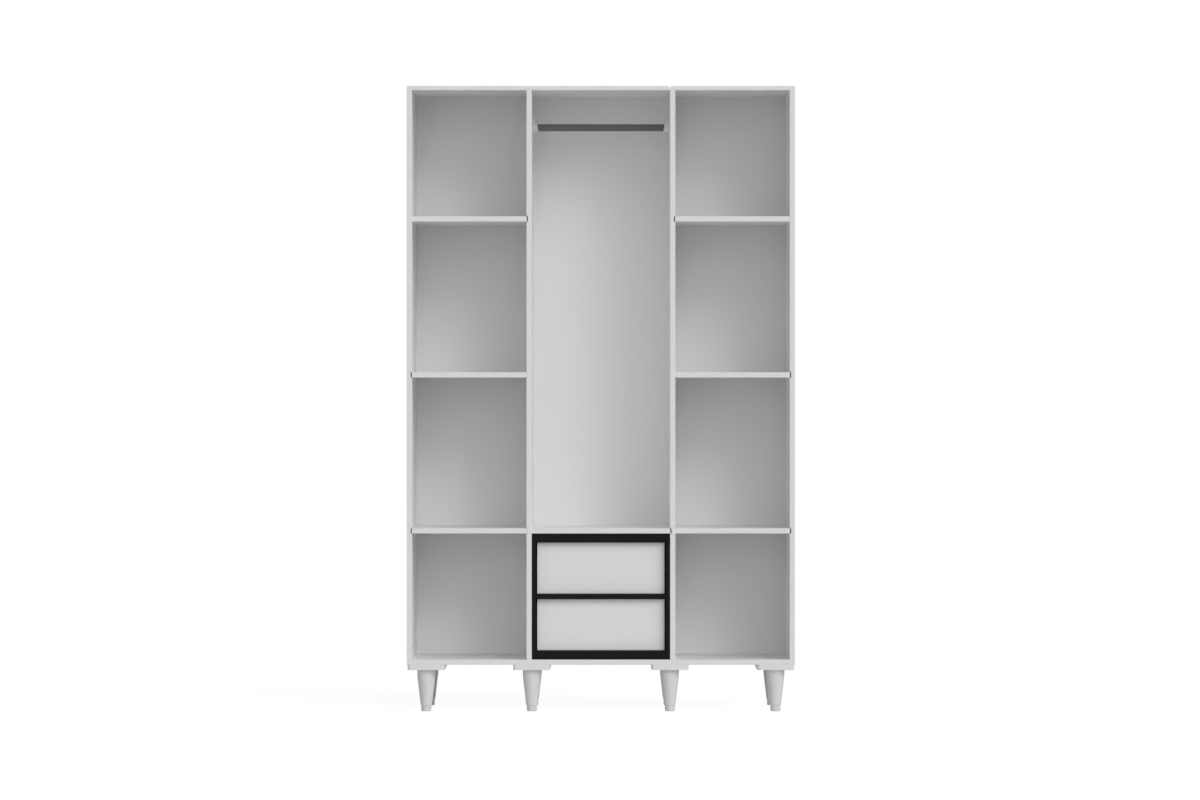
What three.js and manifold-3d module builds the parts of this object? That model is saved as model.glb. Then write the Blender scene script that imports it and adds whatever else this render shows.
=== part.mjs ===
// An open wardrobe of three bays: shelves on the left and right, and in the middle a garment rail over
// two drawers in a black surround. It stands on eight turned legs under four foot boards.
// Millimetres. +X is to the right, +Y to the back and +Z up, and the origin is on the floor under the middle.

import * as THREE from "three";
import { mergeVertices } from "three/addons/utils/BufferGeometryUtils.js";
import Module from "manifold-3d";

const wasm = await Module();
wasm.setup();

// The whole wardrobe
const WIDTH = 1100;
const HEIGHT = 1773;
const DEPTH = 470;

// Carcass. The side bays share the width that the centre bay leaves, and the two middle compartments share
// the height that the ones over and under them leave.
const BOARD = 15;
const TOP_BOARD = 12;
const BACK_SHEET = 3;
const BACK_SHEET_INSET = 1;
const CENTRE_BAY = 392;
const TOP_COMPARTMENT = 357;
const BOTTOM_COMPARTMENT = 357;
const EDGE_EASE = 0.75;
const TOP_JOINT_CHAMFER = 5.5;

// Shelves, whose ends sit in grooves across the uprights
const SHELF_GROOVE = 4;
const SHELF_END_PLAY = 3;
const SHELF_SETBACK = 2;
const GROOVE_PLAY = 0.3;

// Garment rail and its sockets
const RAIL_RADIUS = 10;
const RAIL_WALL = 1.2;
const RAIL_DROP = 109;
const SOCKET_PLATE = 4;
const SOCKET_PLATE_RADIUS = 17.5;
const SOCKET_DEPTH = 17;
const SOCKET_WALL = 3;
const SOCKET_LIP = 7;
const LUG_RISE = 28;
const LUG_RADIUS = 7;

// Foot boards and legs
const FOOT_BOARD = 15;
const FOOT_BOARD_WIDTH = 105;
const FOOT_BOARD_INSET = 2;
const FOOT_BOARD_CORNER = 8;
const LEG_HEIGHT = 118;
const LEG_TOP_RADIUS = 26;
const LEG_COLLAR_RADIUS = 25.25;
const LEG_COLLAR_HEIGHT = 22;
const LEG_FOOT_RADIUS = 16;
const LEG_INSET = 39;
const GLIDE_HEIGHT = 17;
const GLIDE_RADIUS = 14.5;
const GLIDE_CORNER = 4;
const STUD_RADIUS = 4;
const STUD_LENGTH = 12;

// Black surround of the drawers
const SURROUND_BOARD = 12;
const SURROUND_SETBACK = 2;
const FRONT_RECESS = 20;
const FRONT_SIDE_GAP = 3.5;
const FRONT_HEIGHT_GAP = 1.5;
const CHEEK_BACK_MARGIN = 15;

// Drawers
const DRAWER_FRONT = 15;
const DRAWER_WALL = 12;
const DRAWER_BASE = 3;
const BASE_GROOVE = 4;
const BASE_LIFT = 8;
const BOX_LIFT = 20;
const BOX_HEIGHT = 100;

// Ball-bearing runners: a rail on the cheek, a rail on the drawer, and a cage of balls that rolls between
const RUNNER_LENGTH = 350;
const RUNNER_HEIGHT = 35;
const RUNNER_WIDTH = 12.5;
const RUNNER_STEEL = 1.2;
const BALL_RADIUS = 2.2;
const BALL_OFFSET = 5.5;
const BALL_PITCH = 19;
const CAGE_LENGTH = 100;
const CAGE_STEEL = 0.8;
const RUNNER_SCREW_MARGIN = 35;
const CHEEK_CURL = { edge: 20, web: 135 };
const DRAWER_CURL = { edge: -120, web: -45 };

// Push latches, which hold the closed drawers and push them out by their plungers
const LATCH_WIDTH = 22;
const LATCH_HEIGHT = 14;
const LATCH_LENGTH = 60;
const LATCH_CORNER = 3;
const LATCH_REBATE = 1;
const LATCH_END_WALL = 4;
const PLUNGER_RADIUS = 4;
const PLUNGER_LENGTH = 46;
const PLUNGER_HEAD_RADIUS = 5.5;
const PLUNGER_HEAD = 4;
const PLUNGER_SHOWS = 8;
const LATCH_BACK_MARGIN = 6;

// Screw holes in the runners and sockets
const SCREW_HOLE_RADIUS = 2.25;

// The gap left where one piece moves in another, or is turned and set into another
const CLEARANCE = 0.3;

// Colours of the finishes
const FINISHES = {
  whiteBoard: { color: 0xe6e6e5, roughness: 0.45, metalness: 0 },
  whiteLacquer: { color: 0xe8e8e6, roughness: 0.35, metalness: 0 },
  whiteSheet: { color: 0xdededc, roughness: 0.6, metalness: 0 },
  blackBoard: { color: 0x1a1a1b, roughness: 0.5, metalness: 0 },
  greySteel: { color: 0x616161, roughness: 0.6, metalness: 0 },
  blackSteel: { color: 0x262626, roughness: 0.4, metalness: 0 },
  whitePlastic: { color: 0xd5d5d3, roughness: 0.5, metalness: 0 },
  greyPlastic: { color: 0x77797b, roughness: 0.55, metalness: 0 },
};

// Sizes are kept to a 64th of a millimetre, which the vertices hold exactly, so that two faces that touch
// lie in one plane.
const GRID = 64;
const exact = (size) => Math.round(size * GRID) / GRID;

// Levels, up from the floor to the lower shelf, and down from the top to the middle one
const footBoardBase = exact(LEG_HEIGHT);
const bottomBase = exact(footBoardBase + FOOT_BOARD);
const bottomTop = exact(bottomBase + BOARD);
const lowerShelfBase = exact(bottomTop + BOTTOM_COMPARTMENT);
const topTop = exact(HEIGHT);
const topBase = exact(topTop - TOP_BOARD);
const upperShelfBase = exact(topBase - TOP_COMPARTMENT - BOARD);
const middleShelfBase = exact((lowerShelfBase + upperShelfBase) / 2);

// Widths, from the middle to each side
const partitionInner = exact(CENTRE_BAY / 2);
const partitionOuter = exact(partitionInner + BOARD);
const sideOuter = exact(WIDTH / 2);
const sideInner = exact(sideOuter - BOARD);

// Depths, from the front to the back
const carcassFront = exact(-DEPTH / 2);
const sheetBack = exact(DEPTH / 2);
const carcassBack = exact(sheetBack - BACK_SHEET);

// Surround and drawers
const surroundFront = exact(carcassFront + SURROUND_SETBACK);
const cheekInner = exact(partitionInner - SURROUND_BOARD);
const surroundHeight = exact(lowerShelfBase - bottomTop);
const endRail = 2 * SURROUND_BOARD;
const frontHeight = exact((surroundHeight - 2 * endRail - SURROUND_BOARD) / 2 - 2 * FRONT_HEIGHT_GAP);
const frontFace = exact(surroundFront + FRONT_RECESS);
const frontBack = exact(frontFace + DRAWER_FRONT);
const cheekBack = exact(frontBack + RUNNER_LENGTH + CHEEK_BACK_MARGIN);
const boxOuter = exact(cheekInner - RUNNER_WIDTH);
const boxInner = exact(boxOuter - DRAWER_WALL);
const lowerOpeningBase = exact(bottomTop + endRail);
const middleRailBase = exact(lowerOpeningBase + frontHeight + 2 * FRONT_HEIGHT_GAP);
const upperOpeningBase = exact(middleRailBase + SURROUND_BOARD);
const latchFront = exact(frontBack + PLUNGER_SHOWS);
const latchBack = exact(latchFront + LATCH_LENGTH);
const railBack = exact(latchBack + LATCH_BACK_MARGIN);

const ROUND_STEPS = 24;
const BALL_STEPS = 8;
const BALL_RINGS = 5;
const HOLE_STEPS = 12;
const PAST = 1;
const SHOULDER_SHARE = 0.2;

function toSolid(geometry) {
  const bare = geometry.clone();
  bare.deleteAttribute("normal");
  bare.deleteAttribute("uv");
  const merged = mergeVertices(bare, 1e-4);
  const mesh = new wasm.Mesh({
    numProp: 3,
    vertProperties: merged.attributes.position.array,
    triVerts: new Uint32Array(merged.index.array),
  });
  return new wasm.Manifold(mesh);
}

function toGeometry(solid) {
  const mesh = solid.getMesh();
  const geometry = new THREE.BufferGeometry();
  geometry.setAttribute("position", new THREE.BufferAttribute(new Float32Array(mesh.vertProperties), 3));
  geometry.setIndex(new THREE.BufferAttribute(new Uint32Array(mesh.triVerts), 1));
  const faceted = geometry.toNonIndexed();
  faceted.computeVertexNormals();
  return faceted;
}

function cut(geometry, cutters) {
  return toGeometry(cutters.reduce((solid, cutter) => solid.subtract(toSolid(cutter)), toSolid(geometry)));
}

function join(geometries) {
  return toGeometry(geometries.map(toSolid).reduce((solid, next) => solid.add(next)));
}

// A square block between two corners.
function block(low, high) {
  const from = low.map(exact);
  const size = high.map((side, i) => exact(side) - from[i]);
  const geometry = new THREE.BoxGeometry(...size);
  return geometry.translate(...from.map((side, i) => side + size[i] / 2));
}

// Where a section's two axes and its sweep go. A sweep along X is drawn in Y and Z, one along Y in Z and X,
// and one along Z in X and Y.
const [ALONG_X, ALONG_Y, ALONG_Z] = [
  [0, 1, 0, 0, 0, 1, 1, 0, 0],
  [0, 0, 1, 1, 0, 0, 0, 1, 0],
  [1, 0, 0, 0, 1, 0, 0, 0, 1],
].map((columns) => {
  const axes = [0, 3, 6].map((start) => new THREE.Vector3().fromArray(columns, start));
  return new THREE.Matrix4().makeBasis(...axes);
});

function sweep(section, way, from, to) {
  const depth = exact(to) - exact(from);
  const geometry = new THREE.ExtrudeGeometry(section, { depth, bevelEnabled: false, curveSegments: ROUND_STEPS / 2 });
  return geometry.translate(0, 0, exact(from)).applyMatrix4(way);
}

function outline(points) {
  return new THREE.Shape(points.map(([a, b]) => new THREE.Vector2(exact(a), exact(b))));
}

// A board's section: its depth from front to back, and its two faces, with the front arrises eased.
function boardSection(front, back, low, high) {
  return [
    [front + EDGE_EASE, low],
    [back, low],
    [back, high],
    [front + EDGE_EASE, high],
    [front, high - EDGE_EASE],
    [front, low + EDGE_EASE],
  ];
}

// A lying board, and an upright one with the same section turned on its side.
function shelfBoard(left, right, front, back, base, thickness) {
  return sweep(outline(boardSection(front, back, base, base + thickness)), ALONG_X, left, right);
}

function uprightBoard(left, right, front, back, base, top) {
  const section = boardSection(front, back, left, right).map(([depth, across]) => [across, depth]);
  return sweep(outline(section), ALONG_Z, base, top);
}

// A round bar or bore: its axis runs along X, Y or Z from a point.
function round(radius, length, way, [x, y, z], steps = ROUND_STEPS) {
  const geometry = new THREE.CylinderGeometry(radius, radius, length, steps).rotateX(Math.PI / 2);
  return geometry.translate(0, 0, length / 2).applyMatrix4(way).translate(x, y, z);
}

// A turned piece: its profile runs from the axis, out and back to the axis, and it stands up from its base.
function turned(profile) {
  const points = profile.map(([radius, height]) => new THREE.Vector2(radius, height));
  return new THREE.LatheGeometry(points, ROUND_STEPS).rotateX(Math.PI / 2);
}

// Points on an arc, by its centre, radius and two angles in degrees.
function arc([a, b], radius, start, end, steps) {
  return Array.from({ length: steps + 1 }, (_, i) => {
    const angle = THREE.MathUtils.degToRad(start + ((end - start) * i) / steps);
    return [a + radius * Math.cos(angle), b + radius * Math.sin(angle)];
  });
}

// The section of a rolled strip of steel: its centre line, thickened to both sides with mitred corners.
function stripSection(line, thickness) {
  const points = line.map(([a, b]) => new THREE.Vector2(a, b));
  const normals = points.slice(1).map((point, i) => {
    const run = point.clone().sub(points[i]).normalize();
    return new THREE.Vector2(-run.y, run.x);
  });
  const offset = (side) =>
    points.map((point, i) => {
      const before = normals[Math.max(i - 1, 0)];
      const after = normals[Math.min(i, normals.length - 1)];
      const mitre = before.clone().add(after).normalize();
      return point.clone().addScaledVector(mitre, (side * thickness) / 2 / mitre.dot(before));
    });
  return outline([...offset(1), ...offset(-1).reverse()].map((point) => point.toArray()));
}

const wardrobe = new THREE.Group();

function groupAt(parent, x = 0, y = 0, z = 0) {
  const group = new THREE.Group();
  group.position.set(x, y, z);
  parent.add(group);
  return group;
}

function piece(parent, name, geometry, finish) {
  const mesh = new THREE.Mesh(geometry, new THREE.MeshStandardMaterial(FINISHES[finish]));
  mesh.name = name;
  parent.add(mesh);
  return mesh;
}

// Uprights. Each has a groove across its face for every shelf that ends on it.
const carcass = groupAt(wardrobe);
const shelfBases = [lowerShelfBase, middleShelfBase, upperShelfBase];

function grooves(face, direction, bases) {
  const bed = face + direction * SHELF_GROOVE;
  const mouth = face - direction * PAST;
  return bases.map((base) =>
    block(
      [Math.min(bed, mouth), carcassFront - PAST, base],
      [Math.max(bed, mouth), carcassBack + PAST, base + BOARD + GROOVE_PLAY],
    ),
  );
}

function upright(name, left, cutters) {
  const board = uprightBoard(left, left + BOARD, carcassFront, carcassBack, bottomTop, topBase);
  piece(carcass, name, cut(board, cutters), "whiteBoard");
}

upright("left_side_panel", -sideOuter, grooves(-sideInner, -1, shelfBases));
upright("right_side_panel", sideInner, grooves(sideInner, 1, shelfBases));
upright("left_partition", -partitionOuter, [
  ...grooves(-partitionOuter, 1, shelfBases),
  ...grooves(-partitionInner, -1, [lowerShelfBase]),
]);
upright("right_partition", partitionInner, [
  ...grooves(partitionOuter, -1, shelfBases),
  ...grooves(partitionInner, 1, [lowerShelfBase]),
]);

// The bottom panel runs under the uprights, and two top boards lie on them. The top boards meet over the
// inner face of the right partition, where their upper corners are chamfered.
const bottomPanel = shelfBoard(-sideOuter, sideOuter, carcassFront, carcassBack, bottomBase, BOARD);
piece(carcass, "bottom_panel", bottomPanel, "whiteBoard");

const topJointNotch = sweep(
  outline([
    [topTop - TOP_JOINT_CHAMFER, partitionInner],
    [topTop + PAST, partitionInner + TOP_JOINT_CHAMFER + PAST],
    [topTop + PAST, partitionInner - TOP_JOINT_CHAMFER - PAST],
  ]),
  ALONG_Y,
  carcassFront - PAST,
  carcassBack + PAST,
);
const wideTop = shelfBoard(-sideOuter, partitionInner, carcassFront, carcassBack, topBase, TOP_BOARD);
const narrowTop = shelfBoard(partitionInner, sideOuter, carcassFront, carcassBack, topBase, TOP_BOARD);
piece(carcass, "wide_top_board", cut(wideTop, [topJointNotch]), "whiteBoard");
piece(carcass, "narrow_top_board", cut(narrowTop, [topJointNotch]), "whiteBoard");

// Back sheets, nailed to the back edges of the boards. They meet on the right partition.
const sheetJoint = (partitionInner + partitionOuter) / 2;
const sheetLow = bottomBase + BACK_SHEET_INSET;
const sheetHigh = topTop - BACK_SHEET_INSET;
const sheetSide = sideOuter - BACK_SHEET_INSET;
const wideSheet = block([-sheetSide, carcassBack, sheetLow], [sheetJoint - CLEARANCE / 2, sheetBack, sheetHigh]);
const narrowSheet = block([sheetJoint + CLEARANCE / 2, carcassBack, sheetLow], [sheetSide, sheetBack, sheetHigh]);
piece(carcass, "wide_back_sheet", wideSheet, "whiteSheet");
piece(carcass, "narrow_back_sheet", narrowSheet, "whiteSheet");

// Shelves. Each is a little shorter than the way between its two grooves and is pushed to one end.
function shelf(name, left, right, base, pushed) {
  const slack = SHELF_END_PLAY / 2;
  const from = left - SHELF_GROOVE + slack + pushed * slack;
  const to = right + SHELF_GROOVE - slack + pushed * slack;
  const board = shelfBoard(from, to, carcassFront + SHELF_SETBACK, carcassBack, base, BOARD);
  piece(carcass, name, board, "whiteBoard");
}

shelf("left_lower_shelf", -sideInner, -partitionOuter, lowerShelfBase, 1);
shelf("left_middle_shelf", -sideInner, -partitionOuter, middleShelfBase, 1);
shelf("left_upper_shelf", -sideInner, -partitionOuter, upperShelfBase, -1);
shelf("right_lower_shelf", partitionOuter, sideInner, lowerShelfBase, -1);
shelf("right_middle_shelf", partitionOuter, sideInner, middleShelfBase, -1);
shelf("right_upper_shelf", partitionOuter, sideInner, upperShelfBase, 1);
shelf("drawer_bay_shelf", -partitionInner, partitionInner, lowerShelfBase, -1);

// The garment rail is a steel tube that drops into two open sockets. A socket is a plate with a screw lug
// above and a U-shaped cup, drawn in Y and Z about the tube's axis.
const railDepth = (carcassFront + carcassBack) / 2;
const railLevel = topTop - RAIL_DROP;
const cupInner = RAIL_RADIUS + CLEARANCE;
const cupOuter = cupInner + SOCKET_WALL;
const lugCentre = LUG_RISE - LUG_RADIUS;

function socketGeometry() {
  const neck = THREE.MathUtils.radToDeg(Math.acos(LUG_RADIUS / SOCKET_PLATE_RADIUS));
  const plate = outline([
    ...arc([0, lugCentre], LUG_RADIUS, 0, 180, ROUND_STEPS / 2),
    ...arc([0, 0], SOCKET_PLATE_RADIUS, 180 - neck, 360 + neck, ROUND_STEPS),
  ]);
  const cup = outline([
    ...arc([0, 0], cupOuter, 180, 360, ROUND_STEPS / 2),
    [cupOuter, SOCKET_LIP],
    [cupInner, SOCKET_LIP],
    ...arc([0, 0], cupInner, 0, -180, ROUND_STEPS / 2),
    [-cupInner, SOCKET_LIP],
    [-cupOuter, SOCKET_LIP],
  ]);
  const solid = join([sweep(plate, ALONG_X, 0, SOCKET_PLATE), sweep(cup, ALONG_X, SOCKET_PLATE / 2, SOCKET_DEPTH)]);
  const screwHole = round(SCREW_HOLE_RADIUS, SOCKET_PLATE + 2 * PAST, ALONG_X, [-PAST, 0, lugCentre], HOLE_STEPS);
  return cut(solid, [screwHole]);
}

const railSpan = partitionInner - SOCKET_PLATE - CLEARANCE;
const tubeSection = new THREE.Shape().absarc(0, 0, RAIL_RADIUS, 0, 2 * Math.PI);
tubeSection.holes.push(new THREE.Path().absarc(0, 0, RAIL_RADIUS - RAIL_WALL, 0, 2 * Math.PI));
const railGroup = groupAt(carcass, 0, exact(railDepth), exact(railLevel));
piece(railGroup, "garment_rail", sweep(tubeSection, ALONG_X, -railSpan, railSpan), "greySteel");
piece(railGroup, "left_rail_socket", socketGeometry(), "whitePlastic").position.x = -partitionInner;
const rightSocket = piece(railGroup, "right_rail_socket", socketGeometry(), "whitePlastic");
rightSocket.position.x = partitionInner;
rightSocket.rotation.z = Math.PI;

// Four foot boards run from front to back under the bottom panel. Each is bored for the studs of its legs.
const outerFoot = exact(sideOuter - FOOT_BOARD_INSET - FOOT_BOARD_WIDTH / 2);
const innerFoot = partitionInner;
const footPlaces = {
  outer_left: -outerFoot,
  inner_left: -innerFoot,
  inner_right: innerFoot,
  outer_right: outerFoot,
};
const legPlaces = {
  front: exact(carcassFront + LEG_INSET),
  rear: exact(carcassBack - LEG_INSET),
};

function footBoardGeometry() {
  const right = FOOT_BOARD_WIDTH / 2 - FOOT_BOARD_CORNER;
  const front = carcassFront + FOOT_BOARD_CORNER;
  const back = carcassBack - FOOT_BOARD_CORNER;
  const section = outline([
    ...arc([right, front], FOOT_BOARD_CORNER, -90, 0, 5),
    ...arc([right, back], FOOT_BOARD_CORNER, 0, 90, 5),
    ...arc([-right, back], FOOT_BOARD_CORNER, 90, 180, 5),
    ...arc([-right, front], FOOT_BOARD_CORNER, 180, 270, 5),
  ]);
  const bores = Object.values(legPlaces).map((depth) =>
    round(STUD_RADIUS + CLEARANCE, FOOT_BOARD + 2 * PAST, ALONG_Z, [0, depth, -PAST], HOLE_STEPS),
  );
  return cut(sweep(section, ALONG_Z, 0, FOOT_BOARD), bores);
}

// A turned leg: a plastic glide, a straight taper, an almost straight collar, and a stud on top. The
// shoulder between the taper and the collar is softened by a short curve.
function legGeometry() {
  const shoulder = new THREE.Vector2(LEG_COLLAR_RADIUS, LEG_HEIGHT - LEG_COLLAR_HEIGHT);
  const foot = new THREE.Vector2(LEG_FOOT_RADIUS, GLIDE_HEIGHT);
  const top = new THREE.Vector2(LEG_TOP_RADIUS, LEG_HEIGHT);
  const share = SHOULDER_SHARE;
  const bend = new THREE.QuadraticBezierCurve(
    shoulder.clone().lerp(foot, share),
    shoulder,
    shoulder.clone().lerp(top, share),
  );
  return turned([
    [0, 0],
    ...arc([GLIDE_RADIUS - GLIDE_CORNER, GLIDE_CORNER], GLIDE_CORNER, -90, 0, 2),
    [GLIDE_RADIUS, GLIDE_HEIGHT],
    foot.toArray(),
    ...bend.getPoints(3).map((point) => point.toArray()),
    top.toArray(),
    [STUD_RADIUS, LEG_HEIGHT],
    [STUD_RADIUS, LEG_HEIGHT + STUD_LENGTH],
    [0, LEG_HEIGHT + STUD_LENGTH],
  ]);
}

const feet = groupAt(wardrobe);
for (const [place, across] of Object.entries(footPlaces)) {
  const foot = groupAt(feet, across);
  piece(foot, `${place}_foot_board`, footBoardGeometry(), "whiteBoard").position.z = footBoardBase;
  for (const [end, depth] of Object.entries(legPlaces))
    piece(foot, `${place}_${end}_leg`, legGeometry(), "whiteLacquer").position.y = depth;
}

// The surround of the drawers: two cheeks, two rails of doubled board and a middle rail. The rail under
// each drawer carries that drawer's latch housing, which is open at the front for the plunger.
const surround = groupAt(wardrobe, 0, 0, bottomTop);

function cheek(name, left) {
  const right = left + SURROUND_BOARD;
  piece(surround, name, uprightBoard(left, right, surroundFront, cheekBack, 0, surroundHeight), "blackBoard");
}

const boreRadius = PLUNGER_RADIUS + CLEARANCE;
const boreHeight = (LATCH_HEIGHT - LATCH_REBATE) / 2;

function latchedRail(base, thickness) {
  const top = base + thickness;
  const half = LATCH_WIDTH / 2;
  const corner = LATCH_CORNER;
  const high = top + LATCH_HEIGHT - LATCH_REBATE;
  const housing = outline([
    [top - LATCH_REBATE, half],
    [top - LATCH_REBATE, -half],
    ...arc([high - corner, corner - half], corner, -90, 0, 3),
    ...arc([high - corner, half - corner], corner, 0, 90, 3),
  ]);
  const rail = shelfBoard(-cheekInner, cheekInner, surroundFront, railBack, base, thickness);
  const solid = join([rail, sweep(housing, ALONG_Y, latchFront, latchBack)]);
  const boreLength = LATCH_LENGTH - LATCH_END_WALL + PAST;
  const bore = round(boreRadius, boreLength, ALONG_Y, [0, latchFront - PAST, top + boreHeight]);
  return cut(solid, [bore]);
}

cheek("surround_left_cheek", -partitionInner);
cheek("surround_right_cheek", cheekInner);
const topRail = shelfBoard(-cheekInner, cheekInner, surroundFront, railBack, surroundHeight - endRail, endRail);
piece(surround, "surround_top_rail", topRail, "blackBoard");
const middleRail = latchedRail(middleRailBase - bottomTop, SURROUND_BOARD);
piece(surround, "surround_middle_rail", middleRail, "blackBoard");
piece(surround, "surround_bottom_rail", latchedRail(0, endRail), "blackBoard");

// A runner's sections, drawn from the cheek's face towards the drawer and up from the runner's middle. The
// balls roll in two rows, and each rail's edge is rolled round them.
const raceway = BALL_RADIUS + CLEARANCE + RUNNER_STEEL / 2;
const ballRise = RUNNER_HEIGHT / 2 - RUNNER_STEEL / 2 - raceway;
const ballCentre = [BALL_OFFSET, ballRise];
const cageWeb = RUNNER_STEEL + CAGE_STEEL * 1.5;

// A section's upper half, from its free edge to its web, is repeated upside down.
function mirroredLine(upper) {
  const lower = upper.map(([across, rise]) => [across, -rise]).reverse();
  return [...upper, ...lower];
}

function railLine(webAcross, curl) {
  const edge = arc(ballCentre, raceway, curl.edge, curl.web, 6);
  const lastRise = edge[edge.length - 1][1];
  return mirroredLine([...edge, [webAcross, lastRise]]);
}

// Sweeps a section drawn in X and Z along Y.
const alongRunner = (line, thickness, length) =>
  sweep(stripSection(line.map(([across, rise]) => [rise, across]), thickness), ALONG_Y, -length / 2, length / 2);

function screwHoles(webAcross) {
  const reach = RUNNER_LENGTH / 2 - RUNNER_SCREW_MARGIN;
  return [-reach, 0, reach].map((depth) =>
    round(SCREW_HOLE_RADIUS, 2 * PAST + RUNNER_STEEL, ALONG_X, [webAcross - PAST, depth, 0], HOLE_STEPS),
  );
}

function cheekRailGeometry() {
  const line = railLine(RUNNER_STEEL / 2, CHEEK_CURL);
  return cut(alongRunner(line, RUNNER_STEEL, RUNNER_LENGTH), screwHoles(0));
}

function drawerRailGeometry() {
  const line = railLine(RUNNER_WIDTH - RUNNER_STEEL / 2, DRAWER_CURL);
  return cut(alongRunner(line, RUNNER_STEEL, RUNNER_LENGTH), screwHoles(RUNNER_WIDTH - RUNNER_STEEL));
}

function ballCageGeometry() {
  const lip = BALL_OFFSET + BALL_RADIUS + CAGE_STEEL / 2;
  const strip = alongRunner(mirroredLine([[lip, ballRise], [cageWeb, ballRise]]), CAGE_STEEL, CAGE_LENGTH);
  const count = Math.floor((CAGE_LENGTH - BALL_PITCH) / BALL_PITCH) + 1;
  const balls = [];
  for (let i = 0; i < count; i += 1) {
    const depth = (i - (count - 1) / 2) * BALL_PITCH;
    for (const rise of [-ballRise, ballRise]) {
      const ball = new THREE.SphereGeometry(BALL_RADIUS, BALL_STEPS, BALL_RINGS);
      balls.push(ball.translate(BALL_OFFSET, depth, rise));
    }
  }
  return join([strip, ...balls]);
}

// A runner's three parts, on the left. On the right the same parts are turned round. At rest the cage is at
// the middle of both rails. It rolls half as far as the drawer slides.
function runner(parent, drawer, side, level) {
  const place = groupAt(parent, side === "left" ? -cheekInner : cheekInner, frontBack + RUNNER_LENGTH / 2, level);
  if (side === "right") place.rotation.z = Math.PI;
  piece(place, `${drawer}_${side}_cheek_rail`, cheekRailGeometry(), "blackSteel");
  piece(place, `${drawer}_${side}_drawer_rail`, drawerRailGeometry(), "blackSteel");
  piece(place, `${drawer}_${side}_ball_cage`, ballCageGeometry(), "blackSteel");
}

// A plunger: a round head with a domed face, and a rod that slides in the latch's bore.
function plungerGeometry() {
  const dome = 1;
  return turned([
    [0, 0],
    [PLUNGER_HEAD_RADIUS - dome, 0],
    [PLUNGER_HEAD_RADIUS, dome],
    [PLUNGER_HEAD_RADIUS, PLUNGER_HEAD],
    [PLUNGER_RADIUS, PLUNGER_HEAD],
    [PLUNGER_RADIUS, PLUNGER_LENGTH],
    [0, PLUNGER_LENGTH],
  ]).rotateX(-Math.PI / 2);
}

// A drawer's own frame has its origin at the middle of the opening's lower edge, in the plane of the
// front's face. Its bottom slides in a groove round the front and sides, and the back stands on it.
function drawer(name, openingBase) {
  const group = groupAt(wardrobe, 0, frontFace, openingBase);
  const face = cheekInner - FRONT_SIDE_GAP;
  const boxBase = FRONT_HEIGHT_GAP + BOX_LIFT;
  const boxTop = boxBase + BOX_HEIGHT;
  const boxEnd = DRAWER_FRONT + RUNNER_LENGTH;
  const baseLow = boxBase + BASE_LIFT;
  const baseHigh = baseLow + DRAWER_BASE;
  const tongue = boxInner + BASE_GROOVE;
  const grooveCutter = block(
    [-tongue, DRAWER_FRONT - BASE_GROOVE, baseLow],
    [tongue, boxEnd + PAST, baseHigh + GROOVE_PLAY],
  );
  const front = shelfBoard(-face, face, 0, DRAWER_FRONT, FRONT_HEIGHT_GAP, frontHeight);
  const leftSide = block([-boxOuter, DRAWER_FRONT, boxBase], [-boxInner, boxEnd, boxTop]);
  const rightSide = block([boxInner, DRAWER_FRONT, boxBase], [boxOuter, boxEnd, boxTop]);
  const back = block([-boxInner, boxEnd - DRAWER_WALL, baseHigh], [boxInner, boxEnd, boxTop]);
  const base = block(
    [-tongue + CLEARANCE, DRAWER_FRONT - BASE_GROOVE + CLEARANCE, baseLow],
    [tongue - CLEARANCE, boxEnd, baseHigh],
  );
  piece(group, `${name}_drawer_front`, cut(front, [grooveCutter]), "whiteBoard");
  piece(group, `${name}_drawer_left_side`, cut(leftSide, [grooveCutter]), "whiteBoard");
  piece(group, `${name}_drawer_right_side`, cut(rightSide, [grooveCutter]), "whiteBoard");
  piece(group, `${name}_drawer_back`, back, "whiteBoard");
  piece(group, `${name}_drawer_bottom`, base, "whiteSheet");
  const runnerLevel = openingBase + (boxBase + boxTop) / 2;
  runner(wardrobe, name, "left", runnerLevel);
  runner(wardrobe, name, "right", runnerLevel);
  const plunger = piece(wardrobe, `${name}_latch_plunger`, plungerGeometry(), "greyPlastic");
  plunger.position.set(0, frontBack + CLEARANCE, openingBase + boreHeight);
}

drawer("upper", upperOpeningBase);
drawer("lower", lowerOpeningBase);

export default wardrobe;
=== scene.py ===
import math

import bmesh
import bpy
from mathutils import Matrix, Vector


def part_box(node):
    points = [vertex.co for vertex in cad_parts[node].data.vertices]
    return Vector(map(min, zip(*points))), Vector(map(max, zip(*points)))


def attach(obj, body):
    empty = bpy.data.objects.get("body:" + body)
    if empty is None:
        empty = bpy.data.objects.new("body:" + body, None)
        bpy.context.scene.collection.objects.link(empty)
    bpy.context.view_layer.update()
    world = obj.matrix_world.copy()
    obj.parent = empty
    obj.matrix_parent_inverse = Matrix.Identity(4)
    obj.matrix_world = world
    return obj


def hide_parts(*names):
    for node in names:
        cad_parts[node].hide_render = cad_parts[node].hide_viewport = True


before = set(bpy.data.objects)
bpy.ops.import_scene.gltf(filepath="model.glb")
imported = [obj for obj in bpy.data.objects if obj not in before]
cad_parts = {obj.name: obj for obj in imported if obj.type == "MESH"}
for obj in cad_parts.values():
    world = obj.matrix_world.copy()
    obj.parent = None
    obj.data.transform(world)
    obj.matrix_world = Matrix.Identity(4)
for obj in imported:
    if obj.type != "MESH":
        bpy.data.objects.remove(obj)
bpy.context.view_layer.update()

# Camera. The photograph is a level view of the open front from far away, through a long lens, and the
# wardrobe stands in the middle of it.
MM = 0.001
PHOTO_WIDTH = 1200
MM_PER_PIXEL = 2.833
FRONT_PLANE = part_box("left_side_panel")[0].y
CAMERA_DISTANCE = 19.405
CAMERA_HEIGHT = 0.8834
CAMERA_ACROSS = -0.0025
SENSOR_WIDTH = 36
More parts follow.
